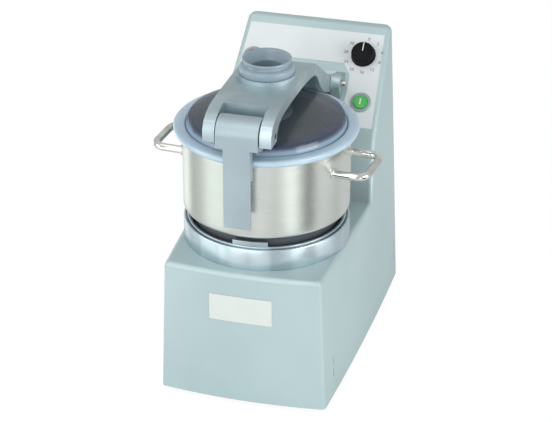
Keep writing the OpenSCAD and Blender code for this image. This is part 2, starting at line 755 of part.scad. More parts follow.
// Two bent handles, cut to the bowl's wall where they are welded on
module handle() {
    leg = handle_reach - handle_bend_r;
    half = handle_gap / 2;
    r = handle_d / 2;
    difference() {
        union() {
            for (s = [-1, 1]) {
                translate([0, s * half, 0]) rotate([0, 90, 0]) cylinder(r = r, h = leg, $fn = round_n);
                translate([leg, s * (half - handle_bend_r), 0]) rotate([0, 0, s > 0 ? 0 : -90])
                    rotate_extrude(angle = 90, $fn = round_n)
                        translate([handle_bend_r, 0]) circle(r = r, $fn = round_n);
            }
            translate([handle_reach, -half + handle_bend_r, 0]) rotate([-90, 0, 0])
                cylinder(r = r, h = handle_gap - 2 * handle_bend_r, $fn = round_n);
        }
        translate([0, 0, -handle_d]) cylinder(r = bowl_r + seat_fit, h = 2 * handle_d, $fn = fine);
    }
}
module bowl_handles() {
    color([0.85, 0.85, 0.86]) translate([0, axis_y, rim_z - handle_drop])
        for (a = [0, 180]) rotate([0, 0, a - handle_turn]) handle();
}

// The catch on the bowl's front, an upturned hook
catch_t = 2.5;
catch_drop = 5;
catch_h = 27;
catch_reach = 17;
catch_arm_h = 13;
catch_lip_h = 10;
module bowl_catch() {
    y1 = axis_y - bowl_r;
    z1 = rim_z - catch_drop;
    color([0.85, 0.85, 0.86]) difference() {
        across(catch_w) {
            translate([y1 - catch_t, z1 - catch_h]) square([2 * catch_t + catch_lip_h, catch_h]);
            translate([y1 - catch_reach, z1 - catch_arm_h - catch_t])
                square([catch_reach, catch_t]);
            translate([y1 - catch_reach, z1 - catch_arm_h - catch_t])
                square([catch_t, catch_lip_h]);
        }
        translate([0, axis_y, z1 - 2 * catch_h])
            cylinder(r = bowl_r + seat_fit, h = 3 * catch_h, $fn = fine);
    }
}

// Behind the panel: the switch blocks, the speed potentiometer and the lid switch
block_w = 34;
block_h = 28;
stem_l = 12;
pot_r = 12;
pot_h = 14;
reed_w = 22;
reed_l = 34;
reed_h = 11;
module switch_blocks() {
    deep = case_wall + seat_fit;
    color([0.2, 0.2, 0.22]) for (b = [[start_x, start_v], [-stop_x, stop_v]]) difference() {
        on_panel(b[0] - block_w / 2, b[1] + block_w / 2, -deep - block_h)
            cube([block_w, block_w, block_h]);
        on_panel(b[0], b[1], -deep - button_travel - 2 * free_fit)
            cylinder(r = button_r + free_fit, h = block_h, $fn = round_n);
        on_panel(b[0], b[1], -deep - stem_l - button_travel - over)
            cylinder(r = stem_r + fit, h = block_h, $fn = round_n);
    }
}
module potentiometer() {
    deep = case_wall + seat_fit;
    color([0.55, 0.57, 0.6]) on_panel(knob_x, knob_v, -deep - pot_h)
        tube(pot_r, stem_r + fit, pot_h, round_n);
}
module lid_switch() {
    color([0.25, 0.25, 0.28]) on_panel(-reed_w / 2, hinge_v + reed_l / 2,
        -case_wall - seat_fit - reed_h) cube([reed_w, reed_l, reed_h]);
}
module button_bezels() {
    color([0.6, 0.68, 0.67]) for (b = [[start_x, start_v], [-stop_x, stop_v]])
        on_panel(b[0], b[1], overlay_t) tube(bezel_r, button_r + free_fit, bezel_h, round_n);
}
module button(x, v) {
    top = overlay_t + bezel_h + button_proud;
    on_panel(x, v, -case_wall) cylinder(r = button_r, h = case_wall + top, $fn = round_n);
    on_panel(x, v, -case_wall - stem_l) cylinder(r = stem_r, h = stem_l + case_wall, $fn = round_n);
}
module start_button() {
    color([0.1, 0.55, 0.3]) button(start_x, start_v);
}
module stop_button() {
    color([0.8, 0.12, 0.15]) button(-stop_x, stop_v);
}

// The speed knob on the stem of the potentiometer, with its pointer line
knob_edge = 1.5;
pointer_w = 2;
pointer_t = 0.4;
module speed_knob() {
    out = overlay_t + free_fit;
    r = knob_r;
    color([0.1, 0.1, 0.11]) {
        on_panel(knob_x, knob_v, out) rotate_extrude($fn = fine) polygon([[0, 0], [r, 0],
            [r, knob_h - knob_edge], [r - knob_edge, knob_h], [0, knob_h]]);
        on_panel(knob_x, knob_v, -case_wall - pot_h)
            cylinder(r = stem_r, h = case_wall + pot_h + out + over, $fn = round_n);
    }
}
module knob_pointer() {
    color([0.9, 0.9, 0.9])
        on_panel(knob_x - pointer_w / 2, knob_v - pointer_w, overlay_t + free_fit + knob_h)
            cube([pointer_w, knob_r - knob_edge - 2 * pointer_w, pointer_t]);
}

// The drive electronics behind the rear cover
sink_d = 26;
sink_plate = 6;
fin_t = 2;
module controller_heatsink() {
    pitch = (drive_w - fin_t) / (drive_fins - 1);
    color([0.5, 0.52, 0.54]) translate([-drive_w / 2, back_y - sink_d, cover_mid_h - drive_h / 2]) {
        cube([drive_w, sink_plate, drive_h]);
        for (i = [0:drive_fins - 1]) translate([pitch * i, sink_plate / 2, 0])
            cube([fin_t, sink_d - sink_plate / 2, drive_h]);
    }
}
module speed_controller() {
    color([0.2, 0.25, 0.3]) translate([-drive_w / 2, back_y - sink_d - drive_d, cover_mid_h - drive_h / 2])
        cube([drive_w, drive_d, drive_h]);
}

// The rear cover with its screws, and the gland for the mains cable
cover_edge = 6;
head_r = 4;
head_h = 2.5;
screw_l = 9;
function cover_screw_places() = [for (sx = [-1, 1], sz = [-1, 0, 1])
    [sx * (cover_w / 2 - cover_edge), cover_mid_h + sz * (cover_h / 2 - cover_edge)]];
module rear_cover() {
    color([0.68, 0.73, 0.74]) difference() {
        translate([-cover_w / 2, back_y + seat_fit, cover_mid_h - cover_h / 2])
            cube([cover_w, cover_t, cover_h]);
        for (p = cover_screw_places()) translate([p[0], back_y + cover_t + over, p[1]])
            rotate([90, 0, 0]) cylinder(r = screw_r + seat_fit, h = cover_t + 2 * over, $fn = round_n);
    }
}
module cover_screws() {
    y = back_y + 2 * seat_fit + cover_t;
    color([0.75, 0.75, 0.77]) for (p = cover_screw_places()) translate([p[0], y, p[1]])
        rotate([90, 0, 0]) {
            translate([0, 0, -head_h]) cylinder(r = head_r, h = head_h, $fn = round_n);
            translate([0, 0, -head_h / 2]) cylinder(r = screw_r, h = screw_l, $fn = round_n);
        }
}
module cable_gland() {
    cap_r = gland_r - gland_neck;
    nut = gland_reach / 2;
    color([0.1, 0.1, 0.1]) translate([gland_x, back_y + gland_reach, gland_h]) rotate([90, 0, 0]) {
        cylinder(r1 = cap_r - gland_neck, r2 = cap_r, h = gland_neck, $fn = round_n);
        translate([0, 0, gland_neck])
            cylinder(r = cap_r, h = gland_reach + case_wall, $fn = round_n);
        translate([0, 0, nut]) cylinder(r = gland_r, h = gland_reach - nut - seat_fit, $fn = 6);
    }
}

// The hinge: two lugs with a thin foot plate on the panel, and the pin through them
lug_foot_t = 1.8;
lug_gap = 1;
groove_w = 1.5;
groove_d = 1;
lug_r = hinge_out - seat_fit;
lug_x = barrel_l / 2 + lug_gap;
lug_shoulder_share = 0.92;
module hinge_bracket() {
    half = hinge_foot_l / 2;
    color([0.62, 0.66, 0.68]) difference() {
        union() {
            for (s = [-1, 1]) on_panel(s * (lug_x + hinge_lug_t / 2), hinge_v, hinge_out)
                rotate([90, 0, 90]) translate([0, 0, -hinge_lug_t / 2]) linear_extrude(hinge_lug_t) {
                    circle(r = lug_r, $fn = fine);
                    polygon([[-half, -lug_r], [half, -lug_r], [lug_r * lug_shoulder_share, 0],
                        [-lug_r * lug_shoulder_share, 0]]);
                }
            on_panel(-lug_x - over, hinge_v + half, seat_fit)
                cube([2 * lug_x + 2 * over, hinge_foot_l, lug_foot_t]);
        }
        cross_bar(front_y + hinge_y, hinge_h, hinge_pin_r + fit, case_max_w);
    }
}
module hinge_pin() {
    right = lug_x + hinge_lug_t + hinge_pin_reach;
    color([0.85, 0.85, 0.86]) difference() {
        translate([-lug_x - hinge_lug_t, front_y + hinge_y, hinge_h]) rotate([0, 90, 0])
            cylinder(r = hinge_pin_r, h = right + lug_x + hinge_lug_t, $fn = round_n);
        for (k = [1, 2]) translate([right - 2 * groove_w * k, front_y + hinge_y, hinge_h])
            rotate([0, 90, 0]) tube(hinge_pin_r + over, hinge_pin_r - groove_d, groove_w, round_n);
    }
}

// Side view of the arm: shares of the way back to the hinge, and of its height over the hinge
arm_upper_shares = [[-0.035, 0.853], [0.005, 0.936], [0.06, 0.985], [0.151, 1], [0.33, 1],
    [0.47, 0.99], [0.56, 0.96], [0.628, 0.9], [0.7035, 0.752], [0.8, 0.532], [0.89, 0.326],
    [0.977, 0.128]];
arm_lower_shares = [[0.977, -0.133], [0.9, -0.02], [0.842, 0.083], [0.79, 0.21], [0.75, 0.34],
    [0.715, 0.48], [0.68, 0.6], [0.63, 0.69], [0.56, 0.75], [0.46, 0.795], [0.32, 0.82],
    [0.151, 0.826], [0.075, 0.78], [0.035, 0.67]];
curve_steps = 4;
// A smooth run of points through the given ones
function through(p) = let (m = len(p) - 1) concat(
    [for (i = [0:m - 1], k = [0:curve_steps - 1])
        let (t = k / curve_steps, a = p[max(i - 1, 0)], b = p[i], c = p[i + 1], d = p[min(i + 2, m)])
        b + t * (c - a) / 2 + t * t * (a - 2.5 * b + 2 * c - d / 2)
            + t * t * t * (1.5 * (b - c) + (d - a) / 2)],
    [p[m]]);
arm_taper_share = 0.578;
fork_back_share = 0.026;
channel_end_share = 0.9;
window_rim = 9;
nose_h = 20;
function arm_point(p) = [front_y + hinge_y * p[0], hinge_h + (arm_top_h - hinge_h) * p[1]];
module arm_plan(in, back) {
    w = arm_w / 2 - in;
    e = barrel_l / 2 - in;
    linear_extrude(arm_top_h + boss_h) polygon([
        [-w, front_y - fork_reach], [w, front_y - fork_reach],
        [w, front_y + hinge_y * arm_taper_share], [e, back], [-e, back],
        [-w, front_y + hinge_y * arm_taper_share]]);
}
neck_step = 3;
neck_r = funnel_tube_r + neck_step;
bore_fit = 0.2;
funnel_y = axis_y + funnel_offset;
magnet_r = 5;
magnet_h = 6;
magnet_share = 0.8;
magnet_x = 20;
magnet_z = lookup(magnet_share, arm_upper_shares) * (arm_top_h - hinge_h) + hinge_h
    - arm_plate_t - magnet_h / 2;
module arm_casting() {
    bore_r = neck_r + bore_fit;
    back = front_y + hinge_y;
    channel = [for (p = through(arm_upper_shares)) if (p[0] > 0.1 && p[0] < channel_end_share)
        arm_point(p) - [0, arm_plate_t]];
    channel_y = front_y + window_back_y + window_rim;
    color([0.62, 0.65, 0.67]) difference() {
        union() {
            intersection() {
                across(arm_w) polygon(concat(
                    [[front_y - fork_reach, fork_end_h], [front_y - fork_reach, fork_end_h + nose_h]],
                    [for (p = through(arm_upper_shares)) arm_point(p)],
                    [for (p = through(arm_lower_shares)) arm_point(p)],
                    [[front_y + hinge_y * fork_back_share, fork_end_h]]));
                arm_plan(0, back);
            }
            cross_bar(back, hinge_h, barrel_r, barrel_l);
            translate([0, funnel_y, arm_top_h - arm_plate_t])
                cylinder(r = boss_r, h = arm_plate_t + boss_h, $fn = fine);
        }
        intersection() {
            across(arm_w) polygon(concat([[channel_y, hinge_h], [channel_y, channel[0][1]]], channel,
                [arm_point([channel_end_share, 0.2])], [[channel[0][0], 0]]));
            arm_plan(arm_side_t, back);
        }
        translate([-arm_w / 2 + fork_leg_w, front_y - fork_reach - over, 0])
            cube([arm_w - 2 * fork_leg_w, fork_reach + window_back_y + over, arm_top_h + boss_h]);
        translate([0, funnel_y, 0]) cylinder(r = bore_r, h = funnel_top_h, $fn = fine);
        cross_bar(back, hinge_h, hinge_pin_r + fit, arm_w);
        cross_bar(front_y + latch_y, latch_h, latch_pin_r + fit, 2 * arm_w);
        translate([magnet_x, front_y + hinge_y * magnet_share, magnet_z - magnet_h])
            cylinder(r = magnet_r + fit, h = 2 * magnet_h + seat_fit, $fn = round_n);
    }
}
module lid_magnet() {
    color([0.3, 0.3, 0.32]) translate([magnet_x, front_y + hinge_y * magnet_share, magnet_z])
        cylinder(r = magnet_r, h = magnet_h, $fn = round_n);
}
module latch_pin() {
    color([0.75, 0.76, 0.78]) cross_bar(front_y + latch_y, latch_h, latch_pin_r, arm_w);
}

// The clear lid, its seal, the funnel through it and the nut that clamps them
seal_lean = 2.7;
seal_lean_h = 9;
seal_gap = 1.6;
seal_in_r = lid_wall_r + seal_gap;
seal_lip = 3;
flange_low = seal_z + seal_lip;
lid_flange_t = 5;
wall_lean = 5;
dome_r = 46;
neck_wall = 4;
module lid() {
    in_r = lid_wall_r - lid_t;
    high = flange_low + lid_flange_t;
    color([0.55, 0.65, 0.75, 0.6]) difference() {
        union() {
            translate([0, axis_y, 0]) rotate_extrude($fn = fine) polygon([
                [in_r, flange_low], [lid_flange_r, flange_low], [lid_flange_r, high],
                [lid_wall_r, high], [lid_wall_r, seal_top], [lid_wall_r - wall_lean, shoulder_z],
                [dome_r, dome_z], [0, dome_z], [0, dome_z - lid_t], [dome_r, dome_z - lid_t],
                [in_r - wall_lean, shoulder_z - lid_t], [in_r, seal_top - lid_t]]);
            translate([0, funnel_y, dome_z - lid_t])
                cylinder(r = funnel_tube_r + free_fit + neck_wall, h = neck_h + lid_t, $fn = fine);
        }
        translate([0, funnel_y, seal_z])
            cylinder(r = funnel_tube_r + free_fit, h = arm_top_h - seal_z, $fn = fine);
    }
}
module lid_seal() {
    low = flange_low - seat_fit;
    high = flange_low + lid_flange_t + seat_fit;
    groove_r = lid_flange_r + seat_fit;
    color([0.45, 0.6, 0.75, 0.7]) translate([0, axis_y, 0]) rotate_extrude($fn = fine) polygon([
        [seal_in_r, seal_z], [seal_r - seal_lean, seal_z], [seal_r, seal_z + seal_lean_h],
        [seal_r - seal_lean / 2, seal_top], [seal_in_r, seal_top], [seal_in_r, high],
        [groove_r, high], [groove_r, low], [seal_in_r, low]]);
}
rim_t = 2.5;
rim_edge_h = 3.5;
nut_w = 9;
nut_wall = 9;
funnel_low = dome_z - lid_t - nut_w;
module feed_funnel() {
    collar = arm_top_h + boss_h + seat_fit;
    step = neck_top + seat_fit;
    dish = funnel_top_h - funnel_dish_h;
    color([0.35, 0.38, 0.42]) translate([0, funnel_y, 0]) rotate_extrude($fn = fine) polygon([
        [funnel_throat_r, funnel_low], [funnel_tube_r, funnel_low], [funnel_tube_r, step],
        [neck_r, step], [neck_r, collar], [funnel_collar_r, collar],
        [funnel_collar_r, collar + funnel_collar_h], [funnel_rim_r - neck_step, collar + funnel_collar_h],
        [funnel_rim_r - rim_t / 2, funnel_top_h - rim_edge_h], [funnel_rim_r, funnel_top_h - rim_edge_h],
        [funnel_rim_r, funnel_top_h], [funnel_rim_r - rim_t, funnel_top_h],
        [funnel_throat_r + rim_t / 2, dish], [funnel_throat_r, dish - rim_t / 2]]);
}
module funnel_nut() {
    color([0.3, 0.33, 0.36]) translate([0, funnel_y, funnel_low])
        tube(funnel_tube_r + nut_wall, funnel_tube_r + fit, nut_w - seat_fit);
}

// The latch lever: a hollow head on its pin, a front plate and two ribs behind it
rib_top = 6;
module latch_lever() {
    y = front_y + latch_y;
    plate_y = y - latch_head_r;
    color([0.6, 0.63, 0.66]) difference() {
        union() {
            difference() {
                cross_bar(y, latch_h, latch_head_r, latch_head_w);
                cross_bar(y, latch_h, latch_head_r - latch_t, latch_head_w - 2 * latch_t);
            }
            translate([-latch_head_w / 2, plate_y, latch_tee_h])
                cube([latch_head_w, latch_t, latch_h - latch_tee_h]);
            translate([-latch_blade_w / 2, plate_y, latch_end_h])
                cube([latch_blade_w, latch_t, latch_h - latch_end_h]);
            for (s = [-1, 1])
                translate([s * (latch_blade_w - latch_t) / 2 - latch_t / 2, plate_y, latch_rib_h])
                    cube([latch_t, latch_rib, latch_tee_h + rib_top - latch_rib_h]);
        }
        cross_bar(y, latch_h, latch_pin_r + fit, 2 * latch_head_w);
    }
}

casing();
base_plate();
rubber_feet();
foot_screws();
control_overlay();
name_plate();
seat_gasket();
seat_ring();
locating_lugs();
motor_flange();
stator_winding();
motor_body();
lower_shield();
upper_bearing();
lower_bearing();
shaft_seal();
speed_controller();
controller_heatsink();
potentiometer();
switch_blocks();
button_bezels();
hinge_bracket();
hinge_pin();
lid_switch();
rear_cover();
cover_screws();
cable_gland();
bowl();
bowl_skirt();
bowl_tube();
bowl_handles();
bowl_catch();
motor_shaft();
rotor_core();
cooling_fan();
blade_hub();
lower_blade();
blade_spacer();
upper_blade();
hub_cap();
arm_casting();
lid();
lid_seal();
feed_funnel();
funnel_nut();
latch_pin();
lid_magnet();
latch_lever();
speed_knob();
knob_pointer();
start_button();
stop_button();
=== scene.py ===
import math
import bpy
from mathutils import Matrix, Vector


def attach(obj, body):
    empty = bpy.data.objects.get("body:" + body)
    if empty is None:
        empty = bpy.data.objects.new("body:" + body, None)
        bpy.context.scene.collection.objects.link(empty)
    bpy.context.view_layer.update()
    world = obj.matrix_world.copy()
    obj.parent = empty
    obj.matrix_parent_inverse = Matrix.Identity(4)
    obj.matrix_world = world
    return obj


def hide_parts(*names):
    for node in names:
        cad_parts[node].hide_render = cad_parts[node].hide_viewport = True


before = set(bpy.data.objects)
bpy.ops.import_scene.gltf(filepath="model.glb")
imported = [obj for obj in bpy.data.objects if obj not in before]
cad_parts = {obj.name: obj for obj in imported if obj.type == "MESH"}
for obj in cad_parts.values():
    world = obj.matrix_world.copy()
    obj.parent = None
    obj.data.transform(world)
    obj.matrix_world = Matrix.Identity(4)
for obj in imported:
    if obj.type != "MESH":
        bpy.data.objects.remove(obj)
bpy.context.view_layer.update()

# Camera
# Stands in front, a little to the right and well above the machine, as the photographer did.
eye = bpy.data.cameras.new("eye")
eye.lens = 129.7
eye.sensor_width = 36
eye.clip_end = 30
camera = bpy.data.objects.new("camera", eye)
camera.location = (0.8525, -3.0438, 1.8811)
camera.rotation_euler = (math.radians(62.65), 0, math.radians(15.856))
bpy.context.collection.objects.link(camera)
bpy.context.scene.camera = camera
bpy.context.scene.view_settings.view_transform = "Standard"

# Studio
# A white table top and a white room with soft lamps all round. Dark screens, bright cards and
# a softbox overhead are seen by gloss alone, so that the steel has something to reflect.


class Lead:
    """One socket of a finish. Adding to it or multiplying it makes the Math nodes."""

    def __init__(self, finish, socket):
        self.finish = finish
        self.socket = socket

    def __add__(self, other):
        return self.finish.node("ShaderNodeMath", {"operation": "ADD"}, {0: self, 1: other})

    __radd__ = __add__

    def __mul__(self, other):
        return self.finish.node("ShaderNodeMath", {"operation": "MULTIPLY"}, {0: self, 1: other})

    __rmul__ = __mul__


class Finish:
    """A material with a Principled shader, built up from nodes."""

    def __init__(self, name, **plain):
        self.material = bpy.data.materials.new(name)
        self.material.use_nodes = True
        self.tree = self.material.node_tree
        self.shader = self.tree.nodes["Principled BSDF"]
        for socket, value in plain.items():
            self.shader.inputs[socket.replace("_", " ")].default_value = value

    def node(self, kind, settings, feeds, out=0):
        made = self.tree.nodes.new(kind)
        for key, value in settings.items():
            setattr(made, key, value)
        for key, value in feeds.items():
            if isinstance(value, Lead):
                self.tree.links.new(value.socket, made.inputs[key])
            else:
                made.inputs[key].default_value = value
        return Lead(self, made.outputs[out])

    def here(self):
        return self.node("ShaderNodeTexCoord", {}, {}, "Object")

    def axes(self, place):
        split = self.tree.nodes.new("ShaderNodeSeparateXYZ")
        self.tree.links.new(place.socket, split.inputs[0])
        return [Lead(self, split.outputs[i]) for i in range(3)]

    def noise(self, scale, detail=4.0, place=None, rough=0.5):
        return self.node("ShaderNodeTexNoise", {},
            {"Vector": place or self.here(), "Scale": scale, "Detail": detail, "Roughness": rough})

    def stretched(self, x, y, z):
        return self.node("ShaderNodeVectorMath", {"operation": "MULTIPLY"},
            {0: self.here(), 1: (x, y, z)})

    def band(self, value, low, high, first=0.0, last=1.0):
        return self.node("ShaderNodeMapRange", {"interpolation_type": "SMOOTHSTEP"},
            {0: value, 1: low, 2: high, 3: first, 4: last})

    def mixed(self, share, first, second):
        first = (*first, 1) if isinstance(first, tuple) and len(first) == 3 else first
        second = (*second, 1) if isinstance(second, tuple) and len(second) == 3 else second
        return self.node("ShaderNodeMix", {"data_type": "RGBA"}, {0: share, 6: first, 7: second}, 2)

    def colour(self, lead):
        self.tree.links.new(lead.socket, self.shader.inputs["Base Color"])

    def alpha(self, lead):
        self.tree.links.new(lead.socket, self.shader.inputs["Alpha"])

    def rough(self, lead):
        self.tree.links.new(lead.socket, self.shader.inputs["Roughness"])

    def relief(self, height, depth, strength=1.0):
        bump = self.node("ShaderNodeBump", {}, {"Height": height, "Distance": depth,
            "Strength": strength})
        self.tree.links.new(bump.socket, self.shader.inputs["Normal"])

    def paint(self, *pieces):
        for piece in pieces:
            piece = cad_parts[piece] if isinstance(piece, str) else piece
            piece.data.materials.clear()
            piece.data.materials.append(self.material)


GLOSS_SEES = 0.35
DIM_ROOM = 0.5
TABLE_SHARE = 0.86
TABLE_GLOW = 1.07
room = bpy.data.worlds.new("room")
room.use_nodes = True
bpy.context.scene.world = room
sky = room.node_tree.nodes["Background"]
path = room.node_tree.nodes.new("ShaderNodeLightPath")
seen = room.node_tree.nodes.new("ShaderNodeMath")
seen.operation = "MAXIMUM"
room.node_tree.links.new(path.outputs["Is Camera Ray"], seen.inputs[0])
room.node_tree.links.new(path.outputs["Is Transmission Ray"], seen.inputs[1])
glossy = room.node_tree.nodes.new("ShaderNodeMath")
glossy.operation = "MULTIPLY_ADD"
room.node_tree.links.new(path.outputs["Is Glossy Ray"], glossy.inputs[0])
glossy.inputs[1].default_value = GLOSS_SEES
room.node_tree.links.new(seen.outputs[0], glossy.inputs[2])
level = room.node_tree.nodes.new("ShaderNodeMapRange")
room.node_tree.links.new(glossy.outputs[0], level.inputs[0])
level.inputs[3].default_value = DIM_ROOM
level.inputs[4].default_value = 1.0
room.node_tree.links.new(level.outputs[0], sky.inputs["Strength"])
sky.inputs["Color"].default_value = (1, 1, 1, 1)

bpy.ops.object.select_all(action="DESELECT")
bpy.ops.mesh.primitive_circle_add(vertices=64, radius=7, fill_type="NGON", location=(0, 0, -0.0005))
table_top = bpy.context.active_object
table_top.name = "table_top"
bpy.ops.object.transform_apply(location=True)
white = Finish("white_table", Roughness=0.6)
white.colour(white.mixed(white.noise(3), (0.86, 0.87, 0.88), (0.9, 0.9, 0.9)))
glow = white.tree.nodes.new("ShaderNodeEmission")
rays = white.tree.nodes.new("ShaderNodeLightPath")
share = white.tree.nodes.new("ShaderNodeMath")
share.operation = "MULTIPLY"
share.inputs[1].default_value = TABLE_SHARE
glow.inputs["Strength"].default_value = TABLE_GLOW
merge = white.tree.nodes.new("ShaderNodeMixShader")
white.tree.links.new(rays.outputs["Is Camera Ray"], share.inputs[0])
white.tree.links.new(share.outputs[0], merge.inputs[0])
white.tree.links.new(white.shader.outputs[0], merge.inputs[1])
white.tree.links.new(glow.outputs[0], merge.inputs[2])
white.tree.links.new(merge.outputs[0], white.tree.nodes["Material Output"].inputs["Surface"])
white.paint(table_top)

for lamp_name, place, aim, size, power in (
        ("overhead_lamp", (-0.7, -0.6, 2.6), (0, -0.05, 0.3), 1.6, 7),
        ("front_lamp", (-0.6, -3.2, 1.2), (0, -0.1, 0.25), 2.0, 32),
        ("left_lamp", (-2.4, -1.2, 1.1), (0, -0.1, 0.3), 1.4, 16),
        ("right_lamp", (2.6, -0.9, 0.9), (0, -0.05, 0.3), 1.6, 38)):
    lamp = bpy.data.lights.new(lamp_name, "AREA")
    lamp.size = size
    lamp.energy = power
    stand = bpy.data.objects.new(lamp_name, lamp)
    stand.location = place
    stand.rotation_euler = (Vector(aim) - Vector(place)).to_track_quat("-Z", "Y").to_euler()
    bpy.context.collection.objects.link(stand)


def glowing(name, strength, tint):
    cloth = Finish(name, Roughness=1.0, Emission_Strength=strength)
    cloth.colour(cloth.mixed(cloth.noise(2), (0.02, 0.02, 0.02), (0.03, 0.03, 0.03)))
    cloth.shader.inputs["Emission Color"].default_value = (*tint, 1)
    return cloth


def gloss_board(name, place, turn, size, finish):
    """A flat board that gloss reflects, and that the camera and other light pass by."""
    bpy.ops.object.select_all(action="DESELECT")
    bpy.ops.mesh.primitive_plane_add(size=1, location=place, rotation=turn)
    board = bpy.context.active_object
    board.name = name
    board.scale = (*size, 1)
    bpy.ops.object.transform_apply(location=True, rotation=True, scale=True)
    board.visible_camera = False
    board.visible_diffuse = False
    board.visible_transmission = False
    board.visible_shadow = False
    finish.paint(board)


dark = Finish("dark_screen", Roughness=1.0)
dark.colour(dark.mixed(dark.noise(2), (0.02, 0.02, 0.022), (0.05, 0.05, 0.055)))
card = glowing("bright_card", 1.6, (0.97, 1.0, 0.98))
SCREEN_MIDDLE = 0.2
SCREEN_HEIGHT = 0.5
for screen_name, x, y, width, turn, finish in (
        ("narrow_screen_in_front", -0.075, -0.745, 0.062, -0.115, dark),
        ("thin_screen_in_front", 0.295, -0.68, 0.03, 0.471, dark),
        ("wide_screen_at_right", 0.603, -0.345, 0.2, 1.187, dark),
        ("screen_at_left", -0.70, -0.05, 0.06, -1.64, dark),
        ("bright_card_at_right", 0.50, -0.59, 0.14, 0.8, card),
        ("bright_card_at_left", -0.50, -0.51, 0.42, -0.89, card),
        ("bright_card_behind_left", -0.61, 0.16, 0.30, -1.97, card)):
    gloss_board(screen_name, (x, y, SCREEN_MIDDLE), (math.pi / 2, 0, turn),
        (width, SCREEN_HEIGHT), finish)
softbox = glowing("softbox_cloth", 4.0, (0.98, 1.0, 1.0))
gloss_board("softbox_above", (-0.25, -1.2, 2.0), (-0.5, 0, 0), (1.3, 0.9), softbox)

# Casing
# Folded and welded sheet, painted a satin pale blue-grey: a box with a bowed front under the
# bowl, and a column behind it whose leaning wall and panel carry the controls.


def round_edges(piece, width, steps, limit=30.0):
    """Rounds the edges of the active piece that turn by more than a limit in degrees."""
    rounding = piece.modifiers.new("edges", "BEVEL")
    rounding.width = width
    rounding.segments = steps
    rounding.limit_method = "ANGLE"
    rounding.angle_limit = math.radians(limit)
    bpy.ops.object.modifier_apply(modifier="edges")


def copied(node, name, edge=0.0, steps=2, limit=30.0, smooth=35.0):
    """A copy of a solid with its corners joined and its sharp edges rounded."""
    piece = bpy.data.objects.new(name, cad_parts[node].data.copy())
    bpy.context.collection.objects.link(piece)
    bpy.ops.object.select_all(action="DESELECT")
    bpy.context.view_layer.objects.active = piece
    piece.select_set(True)
    bpy.ops.object.mode_set(mode="EDIT")
    bpy.ops.mesh.select_all(action="SELECT")
    bpy.ops.mesh.remove_doubles(threshold=0.00001)
    bpy.ops.mesh.dissolve_limited(angle_limit=math.radians(0.4))
    bpy.ops.object.mode_set(mode="OBJECT")
    if edge:
        round_edges(piece, edge, steps, limit)
    bpy.ops.object.shade_smooth_by_angle(angle=math.radians(smooth))
    even = piece.modifiers.new("even", "WEIGHTED_NORMAL")
    even.keep_sharp = True
    even.weight = 100
    bpy.ops.object.modifier_apply(modifier="even")
    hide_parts(node)
    return piece


casing = copied("casing", "folded_casing", smooth=50)
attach(casing, "machine")
satin = Finish("satin_casing_paint", Metallic=0.25, Coat_Weight=0.15, Coat_Roughness=0.35)
cloud = satin.noise(5, 3)
grit = satin.noise(900, 2)
satin.colour(satin.mixed(satin.band(cloud, 0.3, 0.7), (0.42, 0.545, 0.56), (0.46, 0.585, 0.595)))
satin.rough(0.42 + 0.1 * satin.noise(40, 3))
satin.relief(grit, 0.00006, 0.5)
satin.paint(casing)

# Base plate, feet and their screws
# A pressed plate with cooling slots closes the casing underneath; four rubber feet stand on
# the table, each held by a screw and a nut inside.
plate_paint = Finish("base_plate_paint", Metallic=0.4)
plate_paint.colour(plate_paint.mixed(plate_paint.noise(9), (0.2, 0.21, 0.22), (0.26, 0.27, 0.28)))
plate_paint.rough(0.5 + 0.2 * plate_paint.noise(60))
plate_paint.paint("base_plate")
foot_rubber = Finish("foot_rubber", Specular_IOR_Level=0.35)
foot_rubber.colour(foot_rubber.mixed(foot_rubber.noise(80),
    (0.012, 0.012, 0.013), (0.03, 0.03, 0.032)))
foot_rubber.rough(0.7 + 0.2 * foot_rubber.noise(200))
foot_rubber.relief(foot_rubber.noise(700), 0.0001, 0.6)
foot_rubber.paint("rubber_feet", "seat_gasket", "shaft_seal")
plated = Finish("plated_screw_steel", Metallic=1.0)
plated.colour(plated.mixed(plated.noise(150), (0.5, 0.5, 0.52), (0.66, 0.66, 0.68)))
plated.rough(0.25 + 0.2 * plated.noise(300))
plated.paint("foot_screws", "cover_screws")

# Rear cover and cable gland
# A flat steel cover over the drive electronics, held by six screws, and a closed plastic
# gland below it, where a mains cable would come out.
rear_cover = copied("rear_cover", "rear_cover_sheet", edge=0.0005)
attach(rear_cover, "machine")
satin.paint(rear_cover)
moulded = Finish("black_moulded_plastic", Specular_IOR_Level=0.12)
moulded.colour(moulded.mixed(moulded.noise(120), (0.003, 0.003, 0.004), (0.008, 0.008, 0.009)))
moulded.rough(0.38 + 0.15 * moulded.noise(260))
moulded.relief(moulded.noise(900), 0.00008, 0.5)
moulded.paint("cable_gland")

# Control overlay and name plate
# A printed film stuck on the leaning panel, cut out round the hinge, with numbers round the
# speed knob; and a bare plate on the front.
LEAN = math.atan2(0.163, 0.154)
PANEL_EDGE = Vector((0, 0.246, 0.514))
KNOB = (0.095, 0.057)
DIAL_R = 0.0335
DIAL_START = 8
DIAL_STEP = 33.5
PRINT_OUT = 0.00092


def on_panel(x, down, out):
    """The place on the panel that lies below its top edge, as a matrix with Z square to it."""
    turn = Matrix.Rotation(math.pi / 2 - LEAN, 4, "X")
    return Matrix.Translation(PANEL_EDGE) @ turn @ Matrix.Translation((x, -down, out))


